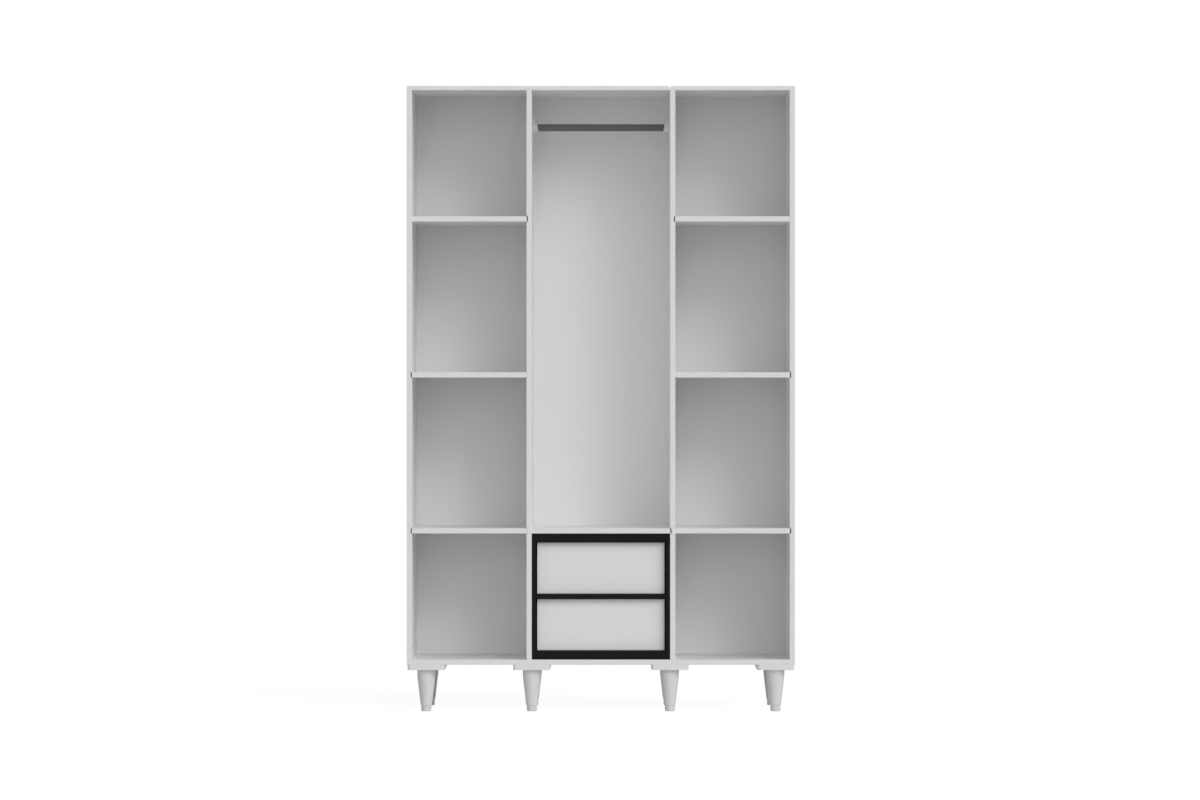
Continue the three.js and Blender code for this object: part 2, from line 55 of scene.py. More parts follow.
FARTHEST_SEEN = 100
QUARTER_TURN = math.radians(90)

camera = bpy.data.objects.new("camera", bpy.data.cameras.new("camera"))
camera.location = (CAMERA_ACROSS, FRONT_PLANE - CAMERA_DISTANCE, CAMERA_HEIGHT)
camera.rotation_euler = (QUARTER_TURN, 0, 0)
camera.data.sensor_width = SENSOR_WIDTH
camera.data.lens = SENSOR_WIDTH * CAMERA_DISTANCE / (PHOTO_WIDTH * MM_PER_PIXEL * MM)
camera.data.clip_end = FARTHEST_SEEN
bpy.context.scene.collection.objects.link(camera)
bpy.context.scene.camera = camera
bpy.context.scene.view_settings.view_transform = "Standard"


# Studio. A pale floor carries the wardrobe and keeps its shadow, and everything behind it is plain white.
# Distant soft lamps light it from the front and the right, between 5 and 32 degrees above the floor.
class Shade:
    """A shader socket. Arithmetic on it adds Math nodes, and node() adds any other node to its tree."""

    def __init__(self, tree, socket=None):
        self.tree = tree
        self.socket = socket

    def node(self, kind, settings=None, inputs=None, output=0):
        made = self.tree.nodes.new(kind)
        for name, value in (settings or {}).items():
            setattr(made, name, value)
        for name, value in (inputs or {}).items():
            if isinstance(value, Shade):
                self.tree.links.new(value.socket, made.inputs[name])
            else:
                made.inputs[name].default_value = value
        return Shade(self.tree, made.outputs[output] if made.outputs else None)

    def math(self, operation, *values):
        return self.node("ShaderNodeMath", {"operation": operation}, dict(enumerate(values)))

    def __add__(self, other):
        return self.math("ADD", self, other)

    def __radd__(self, other):
        return self.math("ADD", other, self)

    def __sub__(self, other):
        return self.math("SUBTRACT", self, other)

    def __rsub__(self, other):
        return self.math("SUBTRACT", other, self)

    def __mul__(self, other):
        return self.math("MULTIPLY", self, other)

    def __rmul__(self, other):
        return self.math("MULTIPLY", other, self)

    def __gt__(self, other):
        return self.math("GREATER_THAN", self, other)

    def __lt__(self, other):
        return self.math("LESS_THAN", self, other)

    def __abs__(self):
        return self.math("ABSOLUTE", self)


def seen_as(tree, unseen, seen):
    """One shader for the light's own rays, and another for the eye, straight or by way of metal or glass."""
    kinds = ("Camera", "Glossy", "Transmission")
    rays = [tree.node("ShaderNodeLightPath", None, None, f"Is {kind} Ray") for kind in kinds]
    straight = (rays[0] + rays[1] + rays[2]) > 0.5
    return tree.node("ShaderNodeMixShader", None, {0: straight, 1: unseen, 2: seen})


WHITE = (1, 1, 1, 1)
FLOOR_COLOUR = (0.9, 0.9, 0.9, 1)
FLOOR_SEEN = (0.35, 0.35, 0.35, 1)
FLOOR_GLOW = 0.9
FLOOR_SIZE = 80

edge = FLOOR_SIZE / 2
floor_corners = [(-edge, -edge, 0), (edge, -edge, 0), (edge, edge, 0), (-edge, edge, 0)]
floor_mesh = bpy.data.meshes.new("floor")
floor_mesh.from_pydata(floor_corners, [], [(0, 1, 2, 3)])
floor = bpy.data.objects.new("floor", floor_mesh)
bpy.context.scene.collection.objects.link(floor)

# The eye sees a glowing floor, on which a shadow is faint. The wardrobe gets the light of a plain pale one.
floor_finish = bpy.data.materials.new("floor_finish")
floor_finish.use_nodes = True
floor_finish.node_tree.nodes.clear()
tree = Shade(floor_finish.node_tree)
paint = tree.node("ShaderNodeBsdfDiffuse", None, {"Color": FLOOR_COLOUR})
thin_paint = tree.node("ShaderNodeBsdfDiffuse", None, {"Color": FLOOR_SEEN})
glow = tree.node("ShaderNodeEmission", None, {"Color": WHITE, "Strength": FLOOR_GLOW})
lit = tree.node("ShaderNodeAddShader", None, {0: thin_paint, 1: glow})
tree.node("ShaderNodeOutputMaterial", None, {"Surface": seen_as(tree, paint, lit)})
floor_mesh.materials.append(floor_finish)

AMBIENT = 0.2
BACKDROP = 1.0
world = bpy.data.worlds.new("studio")
world.use_nodes = True
world.node_tree.nodes.clear()
tree = Shade(world.node_tree)
around = tree.node("ShaderNodeBackground", None, {"Color": WHITE, "Strength": AMBIENT})
behind = tree.node("ShaderNodeBackground", None, {"Color": WHITE, "Strength": BACKDROP})
tree.node("ShaderNodeOutputWorld", None, {"Surface": seen_as(tree, around, behind)})
bpy.context.scene.world = world

# Azimuth to the right of the front and elevation, in degrees, and strength.
LAMPS = {
    "low_front_lamp": (0, 5, 0.24),
    "high_front_lamp": (0, 32, 0.15),
    "low_key_lamp": (25, 18, 0.28),
    "high_key_lamp": (25, 32, 0.4),
    "side_lamp": (50, 32, 0.62),
}
LAMP_WIDTH = math.radians(25)
for name, (azimuth, elevation, strength) in LAMPS.items():
    light = bpy.data.lights.new(name, "SUN")
    light.energy = strength
    light.angle = LAMP_WIDTH
    lamp = bpy.data.objects.new(name, light)
    turn, rise = math.radians(azimuth), math.radians(elevation)
    to_lamp = Vector((math.sin(turn) * math.cos(rise), -math.cos(turn) * math.cos(rise), math.sin(rise)))
    lamp.rotation_mode = "QUATERNION"
    lamp.rotation_quaternion = to_lamp.to_track_quat("Z", "Y")
    bpy.context.scene.collection.objects.link(lamp)


# White boards: the carcass and its shelves. Each is chipboard under a white melamine skin, and its front
# edge has a white plastic band, glued on and trimmed round, whose joint shows as a hairline.
def new_finish(name):
    material = bpy.data.materials.new(name)
    material.use_nodes = True
    material.node_tree.nodes.clear()
    return material, Shade(material.node_tree)


def close_finish(tree, inputs, height, depth, normal=None):
    """Ends a finish in its shader. height is a relief from 0 to 1, and depth is how deep it goes."""
    relief = {"Strength": 1.0, "Distance": depth, "Height": height}
    if normal:
        relief["Normal"] = normal
    bump = tree.node("ShaderNodeBump", None, relief)
    shader = tree.node("ShaderNodeBsdfPrincipled", None, {**inputs, "Normal": bump})
    tree.node("ShaderNodeOutputMaterial", None, {"Surface": shader})


def grain(tree, place, per_metre, detail=2.0):
    """Noise from 0 to 1 with so many grains to the metre, or so many along each axis."""
    if isinstance(per_metre, tuple):
        place = tree.node("ShaderNodeVectorMath", {"operation": "MULTIPLY"}, {0: place, 1: per_metre})
        per_metre = 1.0
    return tree.node("ShaderNodeTexNoise", None, {"Vector": place, "Scale": per_metre, "Detail": detail})


# A Mix node has sockets for numbers and vectors too, so those for colours go by their numbers.
MIX_SHARE = 0
MIX_FIRST = 6
MIX_SECOND = 7
MIX_RESULT = 2


def tint(tree, share, first, second):
    """A colour between two others, each a plain colour or another node's."""
    ends = [colour if isinstance(colour, Shade) else (*colour, 1) for colour in (first, second)]
    sockets = {MIX_SHARE: share, MIX_FIRST: ends[0], MIX_SECOND: ends[1]}
    return tree.node("ShaderNodeMix", {"data_type": "RGBA"}, sockets, MIX_RESULT)


def axes(tree, vector):
    return [tree.node("ShaderNodeSeparateXYZ", None, {"Vector": vector}, axis) for axis in "XYZ"]


def along(tree, vector, direction):
    """How far a vector goes along a direction."""
    return tree.node("ShaderNodeVectorMath", {"operation": "DOT_PRODUCT"}, {0: vector, 1: direction}, "Value")


ARRIS_SAMPLES = 6


def worn_edge(tree, radius):
    """The normal rounded over a radius, and how far it turns there, which is 0 on a flat face."""
    rounded = tree.node("ShaderNodeBevel", {"samples": ARRIS_SAMPLES}, {"Radius": radius})
    flat = tree.node("ShaderNodeNewGeometry", None, None, "Normal")
    return rounded, 1 - along(tree, rounded, flat)


BOARD_WHITE = (0.96, 0.96, 0.96)
BOARD_SHADE = (0.935, 0.935, 0.935)
BAND_WHITE = (0.9, 0.9, 0.9)
EDGE_GREY = (0.76, 0.76, 0.76)
BAND_THICKNESS = 1.0 * MM
HAIRLINE = 0.25 * MM
HAIRLINE_DIRT = 0.35
ARRIS = 0.8 * MM
FACES_FRONT = -0.9
MELAMINE_ROUGHNESS = 0.46
MELAMINE_GLOSS = 0.5
MELAMINE_RELIEF = 0.05 * MM
MOTTLES_PER_METRE = 7.0
PEARLS_PER_METRE = 900.0
DIMPLES_PER_METRE = 260.0


def melamine(
    name,
    front,
    base=BOARD_WHITE,
    shade=BOARD_SHADE,
    band=BAND_WHITE,
    worn=EDGE_GREY,
    joints=(),
    gloss=MELAMINE_GLOSS,
):
    """A melamine board with its banded front edge at front. joints are further hairlines: axis and place."""
    material, tree = new_finish(name)
    place = tree.node("ShaderNodeTexCoord", None, None, "Object")
    facing = tree.node("ShaderNodeNewGeometry", None, None, "True Normal")
    across, depth, rise = axes(tree, place)
    is_front = axes(tree, facing)[1] < FACES_FRONT
    hairline = abs(depth - (front + BAND_THICKNESS)) < HAIRLINE / 2
    for axis, where in joints:
        hairline = hairline + (abs((across, depth, rise)[axis] - where) < HAIRLINE / 2) * is_front
    mottle = grain(tree, place, MOTTLES_PER_METRE, detail=4.0)
    pearl = grain(tree, place, PEARLS_PER_METRE)
    rounded, turned_away = worn_edge(tree, ARRIS)
    banded = tint(tree, is_front, tint(tree, mottle, base, shade), band)
    rubbed = turned_away * (0.5 + mottle) + hairline * HAIRLINE_DIRT
    colour = tint(tree, rubbed, banded, worn)
    roughness = MELAMINE_ROUGHNESS + 0.1 * (mottle - 0.5) + 0.06 * pearl - 0.1 * is_front
    height = 0.5 * pearl + 0.5 * grain(tree, place, DIMPLES_PER_METRE) - hairline
    inputs = {"Base Color": colour, "Roughness": roughness, "Specular IOR Level": gloss}
    close_finish(tree, inputs, height, MELAMINE_RELIEF, rounded)
    return material


def wear(node, material):
    """Gives a CAD node its finish."""
    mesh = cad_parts[node].data
    mesh.materials.clear()
    mesh.materials.append(material)


carcass_white = melamine("carcass_white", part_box("left_side_panel")[0].y)
shelf_white = melamine("shelf_white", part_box("left_upper_shelf")[0].y)
CARCASS_BOARDS = [
    "left_side_panel",
    "left_partition",
    "right_partition",
    "right_side_panel",
    "bottom_panel",
    "wide_top_board",
    "narrow_top_board",
]
LEFT_SHELVES = ["left_upper_shelf", "left_middle_shelf", "left_lower_shelf"]
RIGHT_SHELVES = ["right_upper_shelf", "right_middle_shelf", "right_lower_shelf"]
for board in CARCASS_BOARDS:
    wear(board, carcass_white)
for board in [*LEFT_SHELVES, *RIGHT_SHELVES, "drawer_bay_shelf"]:
    wear(board, shelf_white)


# Cam locks. A zinc disc in the inner face of each upright, near both of its ends, turns to pull the upright
# against the top board or the bottom panel. Each has a cross slot for a screwdriver.
ON_AXIS = 1e-9
CREASE = math.radians(30)


def prism(outline, low, high):
    """A solid with that outline across and up, from one height to another."""
    shape = bmesh.new()
    face = shape.faces.new([shape.verts.new((a, b, low)) for a, b in outline])
    swept = bmesh.ops.extrude_face_region(shape, geom=[face])["geom"]
    top = [corner for corner in swept if isinstance(corner, bmesh.types.BMVert)]
    bmesh.ops.translate(shape, verts=top, vec=(0, 0, high - low))
    bmesh.ops.recalc_face_normals(shape, faces=shape.faces)
    return shape


def turned(profile, steps):
    """A solid of revolution about Z. Its profile starts and ends on the axis, or closes on itself."""
    shape = bmesh.new()
    angles = [2 * math.pi * i / steps for i in range(steps)]
    rings = []
    for radius, height in profile:
        ring = [(radius * math.cos(a), radius * math.sin(a), height) for a in angles]
        if radius < ON_AXIS:
            ring = [(0, 0, height)]
        rings.append([shape.verts.new(point) for point in ring])
    pairs = list(zip(rings, rings[1:]))
    if len(rings[0]) > 1:
        pairs.append((rings[-1], rings[0]))
    for lower, upper in pairs:
        for i in range(steps):
            j = (i + 1) % steps
            corners = [lower[i % len(lower)], lower[j % len(lower)]]
            corners += [upper[j % len(upper)], upper[i % len(upper)]]
            # A ring on the axis has only one point, so its faces are triangles.
            shape.faces.new(list(dict.fromkeys(corners)))
    bmesh.ops.recalc_face_normals(shape, faces=shape.faces)
    return shape


def to_mesh(name, shape):
    """Ends a shape as a mesh that is smooth except over its creases."""
    mesh = bpy.data.meshes.new(name)
    shape.to_mesh(mesh)
    shape.free()
    mesh.polygons.foreach_set("use_smooth", [True] * len(mesh.polygons))
    mesh.set_sharp_from_angle(angle=CREASE)
    return mesh


def copies(shape, places):
    """One shape repeated at several places, each a matrix."""
    pattern = bpy.data.meshes.new("pattern")
    shape.to_mesh(pattern)
    shape.free()
    group = bmesh.new()
    for place in places:
        first = len(group.verts)
        group.from_mesh(pattern)
        group.verts.ensure_lookup_table()
        bmesh.ops.transform(group, matrix=place, verts=group.verts[first:])
    bpy.data.meshes.remove(pattern)
    return group


def carve(mesh, tools, operation="DIFFERENCE"):
    """Cuts shapes out of a mesh, or joins them to it, and gives the new mesh."""
    body = bpy.data.objects.new("carved", mesh)
    bpy.context.scene.collection.objects.link(body)
    helpers = []
    for tool in tools:
        helper_mesh = bpy.data.meshes.new("tool")
        tool.to_mesh(helper_mesh)
        tool.free()
        helper = bpy.data.objects.new("tool", helper_mesh)
        bpy.context.scene.collection.objects.link(helper)
        cut = body.modifiers.new("cut", "BOOLEAN")
        cut.operation = operation
        cut.solver = "EXACT"
        cut.object = helper
        helpers.append(helper)
    result = bpy.data.meshes.new_from_object(body.evaluated_get(bpy.context.evaluated_depsgraph_get()))
    for thing in [body, *helpers]:
        bpy.data.objects.remove(thing)
    return result


def piece(name, mesh, body, slot, material, *nodes):
    """A piece of the wardrobe that rides on a body, in its finish, and may stand for CAD nodes."""
    mesh.name = name
    mesh.materials.clear()
    mesh.materials.append(material)
    made = bpy.data.objects.new(name, mesh)
    bpy.context.scene.collection.objects.link(made)
    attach(made, body)
    if nodes:
        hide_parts(*nodes)
    return made


ZINC = (0.56, 0.57, 0.58)
ZINC_DARK = (0.4, 0.41, 0.42)
ZINC_ROUGHNESS = 0.3
ZINC_GRAINS_PER_METRE = 2500.0
SPANGLES_PER_METRE = 160.0
STEEL_ARRIS = 0.3 * MM
STEEL_RELIEF = 0.01 * MM


def zinc_plate(name):
    """Zinc-plated steel: pale grey, lightly spangled and finely grained."""
    material, tree = new_finish(name)
    place = tree.node("ShaderNodeTexCoord", None, None, "Object")
    grains = grain(tree, place, ZINC_GRAINS_PER_METRE)
    spangles = grain(tree, place, SPANGLES_PER_METRE, detail=4.0)
    rounded, turned_away = worn_edge(tree, STEEL_ARRIS)
    colour = tint(tree, 0.5 * grains + 0.5 * spangles, ZINC_DARK, ZINC)
    roughness = ZINC_ROUGHNESS + 0.14 * grains + 0.08 * spangles - 0.1 * turned_away
    inputs = {"Base Color": colour, "Roughness": roughness, "Metallic": 1.0}
    close_finish(tree, inputs, grains, STEEL_RELIEF, rounded)
    return material


CROSS_SLENDERNESS = 5.5


def cross_slot(size, low, high):
    """A cross with square ends, to be cut out of a head."""
    arm = size / 2
    half = arm / CROSS_SLENDERNESS
    quarter = [(arm, -half), (arm, half), (half, half)]
    outline = []
    for cosine, sine in ((1, 0), (0, 1), (-1, 0), (0, -1)):
        outline += [(x * cosine - y * sine, x * sine + y * cosine) for x, y in quarter]
    return prism(outline, low, high)


def slotted(profile, size, depth):
    """A turned head with a cross slot in its top."""
    top = max(height for _, height in profile)
    mesh = to_mesh("head", turned(profile, steps=40))
    shape = bmesh.new()
    cut = carve(mesh, [cross_slot(size, top - depth, top + MM)])
    shape.from_mesh(cut)
    bpy.data.meshes.remove(cut)
    return shape


def towards(axis, sign, place):
    """A place for a head that faces along an axis."""
    turn = Vector((0, 0, 1)).rotation_difference(Vector([sign if i == axis else 0 for i in range(3)]))
    return Matrix.Translation(place) @ turn.to_matrix().to_4x4()


CAM_RADIUS = 7.5 * MM
CAM_SUNK = 1 * MM
CAM_PROUD = 0.3 * MM
CAM_CHAMFER = 0.3 * MM
CAM_SLOT = 7 * MM
CAM_SLOT_DEPTH = 0.9 * MM
CAM_FROM_END = 34 * MM
CAM_FROM_EDGE = 50 * MM
cam_head = [
    (0, -CAM_SUNK),
    (CAM_RADIUS - CAM_CHAMFER, -CAM_SUNK),
    (CAM_RADIUS, -CAM_SUNK / 2),
    (CAM_RADIUS, CAM_PROUD / 2),
    (CAM_RADIUS - CAM_CHAMFER, CAM_PROUD),
    (0, CAM_PROUD),
]
# Which way the face with the locks looks: 1 to the right, -1 to the left.
INNER_FACES = {"left_side_panel": 1, "left_partition": -1, "right_partition": 1, "right_side_panel": -1}
cam_places = []
for upright, sign in INNER_FACES.items():
    low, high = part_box(upright)
    face = high.x if sign > 0 else low.x
    for depth in (low.y + CAM_FROM_EDGE, high.y - CAM_FROM_EDGE):
        for rise in (low.z + CAM_FROM_END, high.z - CAM_FROM_END):
            cam_places.append(towards(0, sign, (face, depth, rise)))
zinc = zinc_plate("zinc")
cams = copies(slotted(cam_head, CAM_SLOT, CAM_SLOT_DEPTH), cam_places)
piece("cam_locks", to_mesh("cam_locks", cams), "carcass", "zinced_steel", zinc)


# Back sheets. Two sheets of thin hardboard, white on the inside and bare brown fibre on the outside, are
# nailed to the rear edges of the boards. The nails sit in small dents in the brown face.
HARDBOARD_WHITE = (0.96, 0.96, 0.96)
HARDBOARD_SHADE = (0.93, 0.93, 0.93)
FIBRE_BROWN = (0.27, 0.165, 0.09)
FIBRE_DARK = (0.17, 0.098, 0.05)
FACES_INSIDE = -0.7
FIBRE_ROUGHNESS = 0.78
PAINT_SMOOTHNESS = 0.24
HARDBOARD_RELIEF = 0.12 * MM
HARDBOARD_CLOUDS_PER_METRE = 9.0
FIBRES_PER_METRE = (900.0, 900.0, 260.0)
FLECKS_PER_METRE = 420.0


def hardboard(name, outside):
    """Hardboard that is white, except where it faces along the vector outside."""
    material, tree = new_finish(name)
    place = tree.node("ShaderNodeTexCoord", None, None, "Object")
    facing = tree.node("ShaderNodeNewGeometry", None, None, "True Normal")
    is_white = along(tree, facing, outside) < FACES_INSIDE
    clouds = grain(tree, place, HARDBOARD_CLOUDS_PER_METRE, detail=4.0)
    fibres = grain(tree, place, FIBRES_PER_METRE, detail=6.0)
    flecks = grain(tree, place, FLECKS_PER_METRE, detail=8.0)
    brown = tint(tree, 0.45 * clouds + 0.55 * fibres, FIBRE_DARK, FIBRE_BROWN)
    paint = tint(tree, clouds, HARDBOARD_WHITE, HARDBOARD_SHADE)
    colour = tint(tree, is_white, brown, paint)
    roughness = FIBRE_ROUGHNESS - PAINT_SMOOTHNESS * is_white + 0.1 * (fibres - 0.5)
    height = (1 - 0.75 * is_white) * (0.6 * fibres + 0.4 * flecks)
    close_finish(tree, {"Base Color": colour, "Roughness": roughness}, height, HARDBOARD_RELIEF)
    return material


def evenly(start, end, pitch):
    """Places from start to end, about a pitch apart."""
    count = max(round((end - start) / pitch), 1)
    return [start + (end - start) * i / count for i in range(count + 1)]


def moved(shape, place):
    """Moves a shape to a place, which is a matrix, and gives it back."""
    bmesh.ops.transform(shape, matrix=place, verts=shape.verts)
    return shape


NAIL_PITCH = 125 * MM
NAIL_MARGIN = 20 * MM
NAIL_FROM_JOINT = 3.6 * MM
DECIMALS = 5
upright_lines = {
    board: (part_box(board)[0].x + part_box(board)[1].x) / 2
    for board in ("left_side_panel", "left_partition", "right_side_panel")
}
# Both sheets end on the right partition, so each has its own nails in its half of that edge.
joint = (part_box("wide_back_sheet")[1].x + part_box("narrow_back_sheet")[0].x) / 2
upright_lines["wide_joint"] = joint - NAIL_FROM_JOINT
upright_lines["narrow_joint"] = joint + NAIL_FROM_JOINT
sheet_low, sheet_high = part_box("wide_back_sheet")
# The places are rounded, so that a nail that two rows share counts once.
nails = set()
for line in upright_lines.values():
    for rise in evenly(sheet_low.z + NAIL_MARGIN, sheet_high.z - NAIL_MARGIN, NAIL_PITCH):
        nails.add((round(line, DECIMALS), round(rise, DECIMALS)))
LEFT_BAY = ("left_side_panel", "left_partition")
CENTRE_BAY = ("left_partition", "wide_joint")
RIGHT_BAY = ("narrow_joint", "right_side_panel")
cross_boards = {
    "bottom_panel": [LEFT_BAY, CENTRE_BAY, RIGHT_BAY],
    "wide_top_board": [LEFT_BAY, CENTRE_BAY],
    "narrow_top_board": [RIGHT_BAY],
    "drawer_bay_shelf": [CENTRE_BAY],
    **{shelf: [LEFT_BAY] for shelf in LEFT_SHELVES},
    **{shelf: [RIGHT_BAY] for shelf in RIGHT_SHELVES},
}
for board, bays in cross_boards.items():
    low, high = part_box(board)
    for first, last in bays:
        for across in evenly(upright_lines[first], upright_lines[last], NAIL_PITCH)[1:-1]:
            nails.add((round(across, DECIMALS), round((low.z + high.z) / 2, DECIMALS)))

NAIL_HEAD = 1.9 * MM
NAIL_RIM = 0.15 * MM
NAIL_ROUNDING = 0.2 * MM
NAIL_CROWN = 0.06 * MM
NAIL_SHANK = 0.8 * MM
NAIL_IN_SHEET = 1.5 * MM
NAIL_DENT = 0.35 * MM
DENT_SLOPE = 0.6 * MM
CUT_PAST = 0.1 * MM
dent = [(0, -NAIL_DENT), (NAIL_HEAD, -NAIL_DENT), (NAIL_HEAD + DENT_SLOPE, CUT_PAST), (0, CUT_PAST)]
nail = [
    (0, -NAIL_IN_SHEET),
    (NAIL_SHANK, -NAIL_IN_SHEET),
    (NAIL_SHANK, -NAIL_DENT),
    (NAIL_HEAD, -NAIL_DENT),
    (NAIL_HEAD, -NAIL_DENT + NAIL_RIM),
    (NAIL_HEAD - NAIL_ROUNDING, -NAIL_CROWN),
    (0, -NAIL_CROWN / 2),
]
OUTER_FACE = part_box("wide_back_sheet")[1].y
back_brown = hardboard("back_hardboard", (0, 1, 0))
for sheet in ("wide_back_sheet", "narrow_back_sheet"):
    low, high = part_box(sheet)
    own = [towards(1, 1, (x, OUTER_FACE, z)) for x, z in sorted(nails) if low.x < x < high.x]
    block = prism([(low.x, low.z), (high.x, low.z), (high.x, high.z), (low.x, high.z)], -high.y, -low.y)
    upright_block = moved(block, Matrix.Rotation(QUARTER_TURN, 4, "X"))
    dented = carve(to_mesh(sheet, upright_block), [copies(turned(dent, steps=16), own)])
    piece(f"{sheet}_nailed", dented, "carcass", "white_sheet", back_brown, sheet)
    heads = to_mesh(f"{sheet}_nails", copies(turned(nail, steps=20), own))
    piece(f"{sheet}_nails", heads, "carcass", "zinced_steel", zinc)


# Garment rail. A steel tube, powder coated in dark grey, cut square and deburred at its ends. It lies loose
# in its two sockets.
RAIL_WALL = 1.2 * MM
RAIL_BURR = 0.3 * MM
COAT_GREY = (0.19, 0.19, 0.19)
COAT_SHADE = (0.16, 0.16, 0.16)
COAT_ROUGHNESS = 0.55
COAT_GLOSS = 0.3
COAT_RELIEF = 0.02 * MM
COAT_DIMPLES_PER_METRE = 1500.0
COAT_CLOUDS_PER_METRE = 30.0


def powder_coat(name):
    """Powder coat: a matt colour with the fine dimples of melted powder, and a little polish at the ends."""
    material, tree = new_finish(name)
    place = tree.node("ShaderNodeTexCoord", None, None, "Object")
    dimples = grain(tree, place, COAT_DIMPLES_PER_METRE, detail=3.0)
    clouds = grain(tree, place, COAT_CLOUDS_PER_METRE, detail=4.0)
    rounded, turned_away = worn_edge(tree, STEEL_ARRIS)
    colour = tint(tree, 0.5 * dimples + 0.5 * clouds, COAT_SHADE, COAT_GREY)
    roughness = COAT_ROUGHNESS + 0.1 * dimples - 0.2 * turned_away
    inputs = {"Base Color": colour, "Roughness": roughness, "Specular IOR Level": COAT_GLOSS}
    close_finish(tree, inputs, dimples, COAT_RELIEF, rounded)
    return material


low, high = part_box("garment_rail")
rail_axis = (low + high) / 2
rail_radius = (high.z - low.z) / 2
rail_reach = (high.x - low.x) / 2
rail_bore = rail_radius - RAIL_WALL
rail_end = [
    (rail_bore, rail_reach - RAIL_BURR),
    (rail_bore + RAIL_BURR, rail_reach),
    (rail_radius - RAIL_BURR, rail_reach),
    (rail_radius, rail_reach - RAIL_BURR),
]
tube = turned([(across, -along_rail) for across, along_rail in rail_end] + rail_end[::-1], steps=96)
tube_mesh = to_mesh("garment_tube", moved(tube, towards(0, 1, rail_axis)))
piece("garment_tube", tube_mesh, "carcass", "grey_steel", powder_coat("rail_grey"), "garment_rail")


# Rail sockets. Each is one white plastic moulding: a plate with a thick screw lug over it, and an open cup
# whose end slopes, into which the tube drops from above. A steel screw holds the lug to the upright.
PLASTIC_WHITE = (0.94, 0.94, 0.94)
PLASTIC_SHADE = (0.91, 0.91, 0.91)
PLASTIC_ROUGHNESS = 0.5
PLASTIC_ARRIS = 0.4 * MM
PLASTIC_RELIEF = 0.02 * MM
SPARKS_PER_METRE = 2600.0
PLASTIC_CLOUDS_PER_METRE = 60.0


def moulded(name, base, shade, roughness=PLASTIC_ROUGHNESS):
    """Matt plastic with the fine texture of its mould."""
    material, tree = new_finish(name)
    place = tree.node("ShaderNodeTexCoord", None, None, "Object")
    sparks = grain(tree, place, SPARKS_PER_METRE, detail=3.0)
    clouds = grain(tree, place, PLASTIC_CLOUDS_PER_METRE, detail=3.0)
    rounded, turned_away = worn_edge(tree, PLASTIC_ARRIS)
    colour = tint(tree, clouds, base, shade)
    rough = roughness + 0.1 * (sparks - 0.5) - 0.15 * turned_away
    close_finish(tree, {"Base Color": colour, "Roughness": rough}, sparks, PLASTIC_RELIEF, rounded)
    return material


def arc(centre, radius, start, end, steps):
    """Points on an arc, from one angle to another in degrees."""
    angles = [math.radians(start + (end - start) * i / steps) for i in range(steps + 1)]
    return [(centre[0] + radius * math.cos(a), centre[1] + radius * math.sin(a)) for a in angles]


def drill(radius, low, high, steps):
    """A rod to cut a round hole with."""
    return turned([(0, low), (radius, low), (radius, high), (0, high)], steps)


def ease_edges(made, width, segments, angle):
    """Rounds the edges of a piece that are sharper than an angle in degrees."""
    ease = made.modifiers.new("ease", "BEVEL")
    ease.width = width
    ease.segments = segments
    ease.limit_method = "ANGLE"
    ease.angle_limit = math.radians(angle)
    ease.harden_normals = True


SOCKET_PLATE = 4 * MM
SOCKET_PLATE_RADIUS = 17.5 * MM
SOCKET_DEPTH = 17 * MM
SOCKET_DEPTH_AT_LIP = 13.5 * MM
SOCKET_WALL = 3 * MM
SOCKET_PLAY = 0.3 * MM
SOCKET_LIP = 10.5 * MM
SOCKET_ROUNDING = 0.5 * MM
LUG_RISE = 28 * MM
LUG_RADIUS = 7 * MM
LUG_INSET = 0.2 * MM
LUG_DEPTH = 9.5 * MM
cup_inner = rail_radius + SOCKET_PLAY
cup_outer = cup_inner + SOCKET_WALL
lug_centre = LUG_RISE - LUG_RADIUS
neck = math.degrees(math.acos(LUG_RADIUS / SOCKET_PLATE_RADIUS))
plate_outline = [
    *arc((0, lug_centre), LUG_RADIUS, 0, 180, steps=24),
    *arc((0, 0), SOCKET_PLATE_RADIUS, 180 - neck, 360 + neck, steps=64),
]
lug_foot = SOCKET_LIP + MM
lug_outline = [
    *arc((0, lug_centre), LUG_RADIUS - LUG_INSET, 0, 180, steps=24),
    (LUG_INSET - LUG_RADIUS, lug_foot),
    (LUG_RADIUS - LUG_INSET, lug_foot),
]
cup_outline = [
    *arc((0, 0), cup_outer, 180, 360, steps=48),
    (cup_outer, SOCKET_LIP),
    (cup_inner, SOCKET_LIP),
    *arc((0, 0), cup_inner, 0, -180, steps=48),
    (-cup_inner, SOCKET_LIP),
    (-cup_outer, SOCKET_LIP),
]

SCREW_SHANK = 2 * MM
SCREW_HOLE = 2.25 * MM
SCREW_HEAD = 4 * MM
SCREW_SUNK = 1.6 * MM
SCREW_SLOT = 4.6 * MM
countersunk_head = [
    (0, -SCREW_SUNK),
    (SCREW_SHANK, -SCREW_SUNK),
    (SCREW_HEAD - 0.2 * MM, 0.2 * MM),
    (SCREW_HEAD, 0.5 * MM),
    (SCREW_HEAD - 0.5 * MM, 1.1 * MM),
    (SCREW_HEAD / 2, 1.5 * MM),
    (0, 1.6 * MM),
]
white_plastic = moulded("white_plastic", PLASTIC_WHITE, PLASTIC_SHADE)
